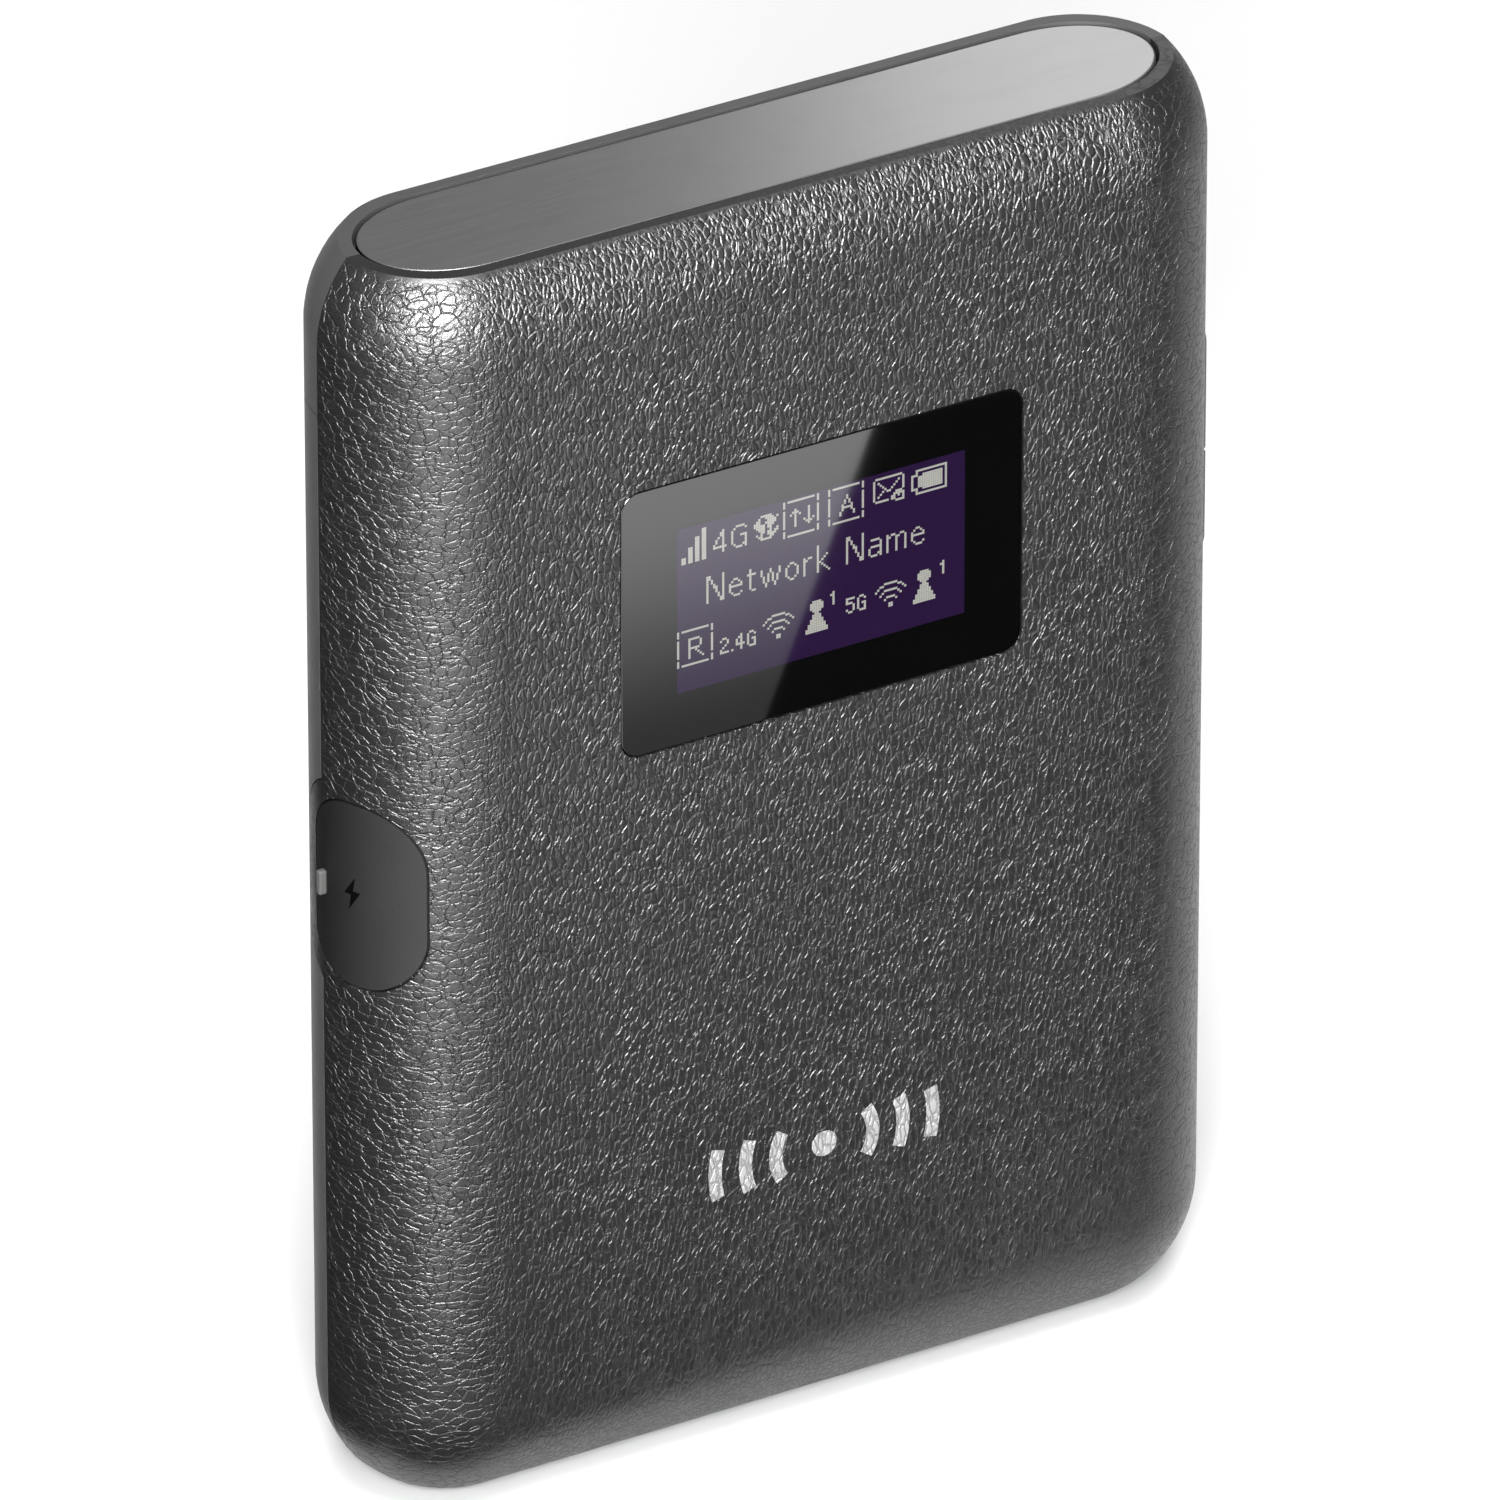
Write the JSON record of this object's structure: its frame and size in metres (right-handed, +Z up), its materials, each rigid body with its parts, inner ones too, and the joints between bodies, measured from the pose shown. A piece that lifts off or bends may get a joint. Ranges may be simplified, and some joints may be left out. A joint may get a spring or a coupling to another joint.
{
  "type": "mobile hotspot",
  "caption": "Pocket wireless router with a leather-grained front, small display, side keys, rubber port flap and removable back.",
  "frame": {"origin": "middle of the standing face under the case", "axes": "+Z up along the tall side, -Y towards the display, +X to the viewer's right"},
  "size_m": [0.0666, 0.0166, 0.0928],
  "materials": {
    "leather_plastic": "matte, moulded leather grain",
    "shell_plastic": "fine satin texture",
    "plate_metal": "satin anodised",
    "lens": "polished, black border",
    "display_glass": "polished",
    "foam": "open foam",
    "inner_plastic": "moulded",
    "flex_circuit": "polyimide film",
    "connector_plastic": "moulded",
    "circuit_board": "solder mask",
    "shield_tin": "tinned, pressed",
    "chip_resin": "moulded resin",
    "usb_steel": "plated",
    "flap_rubber": "matte",
    "key_plastic": "satin",
    "switch_steel": "plated",
    "battery_wrap": "printed film wrap",
    "contact_gold": "gilt",
    "sim_steel": "plated",
    "sim_plastic": "smooth",
    "antenna_film": "polyimide film over copper",
    "screw_steel": "black oxide"
  },
  "bodies": {
    "case": {"front_cover": "leather_plastic", "rear_housing": "shell_plastic", "top_plate": "plate_metal", "display_window": "lens", "display_panel": "display_glass", "display_gasket": "foam", "display_holder": "inner_plastic", "display_flex": "flex_circuit", "flex_connector": "connector_plastic", "main_board": "circuit_board", "modem_shield": "shield_tin", "wifi_shield": "shield_tin", "radio_chips": "chip_resin", "passives": "chip_resin", "usb_shell": "usb_steel", "usb_tongue": "connector_plastic", "power_switch": "switch_steel", "second_switch": "switch_steel", "battery_contacts": "connector_plastic", "contact_blades": "contact_gold", "sim_socket": "sim_steel", "reset_switch": "switch_steel", "main_antenna": "antenna_film", "diversity_antenna": "antenna_film", "wifi_antenna_left": "antenna_film", "wifi_antenna_right": "antenna_film", "antenna_clips": "contact_gold", "case_screws": "screw_steel"},
    "flap": {"port_flap": "flap_rubber"},
    "power_button": {"power_key": "key_plastic", "power_plunger": "connector_plastic"},
    "second_button": {"second_key": "key_plastic", "second_plunger": "connector_plastic"},
    "back": {"battery_cover": "shell_plastic"},
    "battery": {"battery_pack": "battery_wrap"},
    "sim": {"sim_card": "sim_plastic"},
    "reset_button": {"reset_plunger": "connector_plastic"}
  },
  "joints": [
    {"name": "flap_hinge", "type": "hinge", "parent": "case", "child": "flap", "pos_m": [-0.0288, -0.00665, 0.0475], "axis": [0, 0, 1], "range_deg": [0, 70]},
    {"name": "power_press", "type": "slide", "parent": "case", "child": "power_button", "axis": [-1, 0, 0], "range_m": [0, 0.0003], "stiffness_N_per_m": 2000, "springref_m": -0.0002},
    {"name": "second_press", "type": "slide", "parent": "case", "child": "second_button", "axis": [-1, 0, 0], "range_m": [0, 0.0003], "stiffness_N_per_m": 2000, "springref_m": -0.0002},
    {"name": "cover_lift", "type": "slide", "parent": "case", "child": "back", "axis": [0, 1, 0], "range_m": [0, 0.03]},
    {"name": "battery_lift", "type": "slide", "parent": "case", "child": "battery", "axis": [0, 1, 0], "range_m": [0, 0.015]},
    {"name": "sim_slide", "type": "slide", "parent": "case", "child": "sim", "axis": [-1, 0, 0], "range_m": [0, 0.013]},
    {"name": "reset_press", "type": "slide", "parent": "case", "child": "reset_button", "axis": [0, -1, 0], "range_m": [0, 0.0002], "stiffness_N_per_m": 1500, "springref_m": -0.0002}
  ],
  "couplings": [
    {"joint": "battery_lift", "follows": "cover_lift", "ratio": 0.5}
  ]
}
